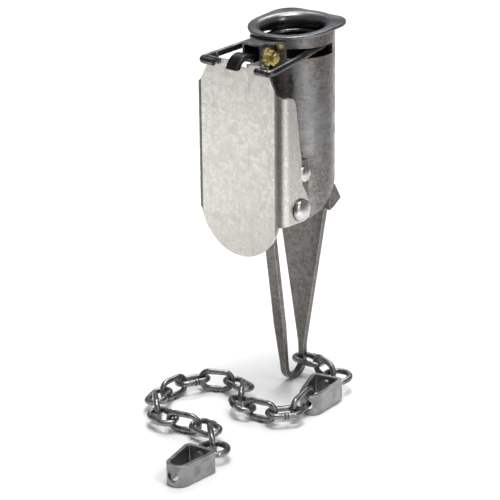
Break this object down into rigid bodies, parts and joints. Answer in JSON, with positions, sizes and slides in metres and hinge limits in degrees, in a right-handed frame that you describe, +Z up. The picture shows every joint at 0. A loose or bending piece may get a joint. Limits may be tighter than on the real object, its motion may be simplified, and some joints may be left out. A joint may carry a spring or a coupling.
{
  "type": "leghold trap",
  "caption": "Enclosed leghold trap: a slotted steel tube on a bent strap stake, with a sprung lever plate, a wire bail, a trigger dog, and a welded chain with swivels.",
  "frame": {"origin": "floor point under the stake's bend, on the tube's axis", "axes": "+Z up along the tube, -Y towards the lever plate, +X towards the trigger's nut"},
  "size_m": [0.1024, 0.2016, 0.245],
  "materials": {
    "tube_steel": "mill scale",
    "rim_steel": "satin",
    "dark_steel": "dark satin",
    "yellow_zinc": "satin",
    "bright_zinc": "bright",
    "plate_steel": "mottled satin",
    "spring_steel": "dark satin",
    "stake_steel": "mill scale",
    "chain_steel": "bright worn",
    "swivel_steel": "satin"
  },
  "bodies": {
    "trap_body": {"tube": "tube_steel", "mouth_rim": "rim_steel", "trigger_housing": "dark_steel", "bait_floor": "tube_steel", "stake": "stake_steel", "hinge_ear_left": "dark_steel", "hinge_ear_right": "dark_steel", "stop_pin": "bright_zinc", "pivot_pin": "bright_zinc", "pivot_washers": "bright_zinc", "trigger_bolt": "yellow_zinc", "trigger_washer": "bright_zinc", "trigger_nut": "yellow_zinc"},
    "lever": {"lever_plate": "plate_steel", "torsion_spring": "spring_steel"},
    "bail": {"bail": "spring_steel"},
    "trigger": {"dog": "dark_steel", "trigger_arm": "dark_steel"},
    "link_01_body": {"link_01": "chain_steel"},
    "link_02_body": {"link_02": "chain_steel"},
    "link_03_body": {"link_03": "chain_steel"},
    "link_04_body": {"link_04": "chain_steel"},
    "link_05_body": {"link_05": "chain_steel"},
    "link_06_body": {"link_06": "chain_steel"},
    "link_07_body": {"link_07": "chain_steel"},
    "link_08_body": {"link_08": "chain_steel"},
    "link_09_body": {"link_09": "chain_steel"},
    "link_10_body": {"link_10": "chain_steel"},
    "link_11_body": {"link_11": "chain_steel"},
    "link_12_body": {"link_12": "chain_steel"},
    "link_13_body": {"link_13": "chain_steel"},
    "link_14_body": {"link_14": "chain_steel"},
    "link_15_body": {"link_15": "chain_steel"},
    "link_16_body": {"link_16": "chain_steel"},
    "link_17_body": {"link_17": "chain_steel"},
    "swivel_box_1_body": {"swivel_box_1": "swivel_steel"},
    "swivel_eye_1_body": {"swivel_eye_1": "swivel_steel"},
    "swivel_eye_2_body": {"swivel_eye_2": "swivel_steel"},
    "swivel_box_2_body": {"swivel_box_2": "swivel_steel"}
  },
  "joints": [
    {"name": "lever_hinge", "type": "hinge", "parent": "trap_body", "child": "lever", "pos_m": [0, -0.036, 0.1355], "axis": [1, 0, 0], "range_deg": [0, 12], "deforming": ["torsion_spring"]},
    {"name": "bail_slide", "type": "slide", "parent": "trap_body", "child": "bail", "axis": [0, -0.9968, -0.0802], "range_m": [0, 0.02]},
    {"name": "trigger_hinge", "type": "hinge", "parent": "trap_body", "child": "trigger", "pos_m": [0, -0.034, 0.229], "axis": [-1, 0, 0], "range_deg": [0, 28]},
    {"name": "link_01_turn", "type": "hinge", "parent": "trap_body", "child": "link_01_body", "pos_m": [0.00056, 0.00925, 0.0112], "axis": [0, 0, 1], "range_deg": [-15, 15]},
    {"name": "link_02_turn", "type": "hinge", "parent": "link_01_body", "child": "link_02_body", "pos_m": [0.01046, 0.00925, 0.0112], "axis": [0, 0, -1], "range_deg": [-20, 20]},
    {"name": "swivel_1_turn", "type": "hinge", "parent": "link_02_body", "child": "swivel_box_1_body", "pos_m": [0.03549, 0.0016, 0.0096], "axis": [0, 0, 1], "range_deg": [-20, 20]},
    {"name": "swivel_1_spin", "type": "hinge", "parent": "swivel_box_1_body", "child": "swivel_eye_1_body", "pos_m": [0.03549, 0.0016, 0.0096], "axis": [0.2245, -0.9726, -0.0607], "range_deg": [-7, 7]},
    {"name": "link_03_turn", "type": "hinge", "parent": "swivel_box_1_body", "child": "link_03_body", "pos_m": [0.04529, -0.04086, 0.0075], "axis": [0, 0, -1], "range_deg": [-14, 8]},
    {"name": "link_04_turn", "type": "hinge", "parent": "link_03_body", "child": "link_04_body", "pos_m": [0.04675, -0.05754, 0.0075], "axis": [0, 0, 1], "range_deg": [-18, 18]},
    {"name": "link_05_turn", "type": "hinge", "parent": "link_04_body", "child": "link_05_body", "pos_m": [0.04079, -0.06544, 0.0075], "axis": [0, 0, -1], "range_deg": [-22, 22]},
    {"name": "link_06_turn", "type": "hinge", "parent": "link_05_body", "child": "link_06_body", "pos_m": [0.01773, -0.06993, 0.0075], "axis": [0, 0, 1], "range_deg": [-22, 22]},
    {"name": "link_07_turn", "type": "hinge", "parent": "link_06_body", "child": "link_07_body", "pos_m": [0.00915, -0.06498, 0.0075], "axis": [0, 0, -1], "range_deg": [-22, 22]},
    {"name": "link_08_turn", "type": "hinge", "parent": "link_07_body", "child": "link_08_body", "pos_m": [-0.00466, -0.04596, 0.0075], "axis": [0, 0, 1], "range_deg": [-22, 22]},
    {"name": "link_09_turn", "type": "hinge", "parent": "link_08_body", "child": "link_09_body", "pos_m": [-0.01431, -0.04374, 0.0075], "axis": [0, 0, -1], "range_deg": [-22, 22]},
    {"name": "link_10_turn", "type": "hinge", "parent": "link_09_body", "child": "link_10_body", "pos_m": [-0.03486, -0.05513, 0.0075], "axis": [0, 0, 1], "range_deg": [-22, 22]},
    {"name": "link_11_turn", "type": "hinge", "parent": "link_10_body", "child": "link_11_body", "pos_m": [-0.03825, -0.06443, 0.0075], "axis": [0, 0, -1], "range_deg": [-22, 22]},
    {"name": "link_12_turn", "type": "hinge", "parent": "link_11_body", "child": "link_12_body", "pos_m": [-0.03825, -0.08793, 0.0075], "axis": [0, 0, 1], "range_deg": [-22, 22]},
    {"name": "link_13_turn", "type": "hinge", "parent": "link_12_body", "child": "link_13_body", "pos_m": [-0.03454, -0.09711, 0.0075], "axis": [0, 0, -1], "range_deg": [-22, 22]},
    {"name": "link_14_turn", "type": "hinge", "parent": "link_13_body", "child": "link_14_body", "pos_m": [-0.01735, -0.11314, 0.0075], "axis": [0, 0, 1], "range_deg": [-22, 22]},
    {"name": "link_15_turn", "type": "hinge", "parent": "link_14_body", "child": "link_15_body", "pos_m": [-0.00763, -0.11503, 0.0075], "axis": [0, 0, -1], "range_deg": [-22, 22]},
    {"name": "link_16_turn", "type": "hinge", "parent": "link_15_body", "child": "link_16_body", "pos_m": [0.01507, -0.10895, 0.0075], "axis": [0, 0, 1], "range_deg": [-22, 22]},
    {"name": "link_17_turn", "type": "hinge", "parent": "link_16_body", "child": "link_17_body", "pos_m": [0.02485, -0.11049, 0.0075], "axis": [0, 0, -1], "range_deg": [-22, 22]},
    {"name": "swivel_2_turn", "type": "hinge", "parent": "link_17_body", "child": "swivel_eye_2_body", "pos_m": [0.04373, -0.12873, 0.00695], "axis": [0, 0, -1], "range_deg": [-20, 20]},
    {"name": "swivel_2_spin", "type": "hinge", "parent": "swivel_eye_2_body", "child": "swivel_box_2_body", "pos_m": [0.04373, -0.12873, 0.00695], "axis": [0.1392, -0.9903, 0], "continuous": true}
  ],
  "couplings": [
    {"joint": "bail_slide", "follows": "lever_hinge", "m_per_rad": 0.095492},
    {"joint": "trigger_hinge", "follows": "lever_hinge", "ratio": 2.3333}
  ]
}
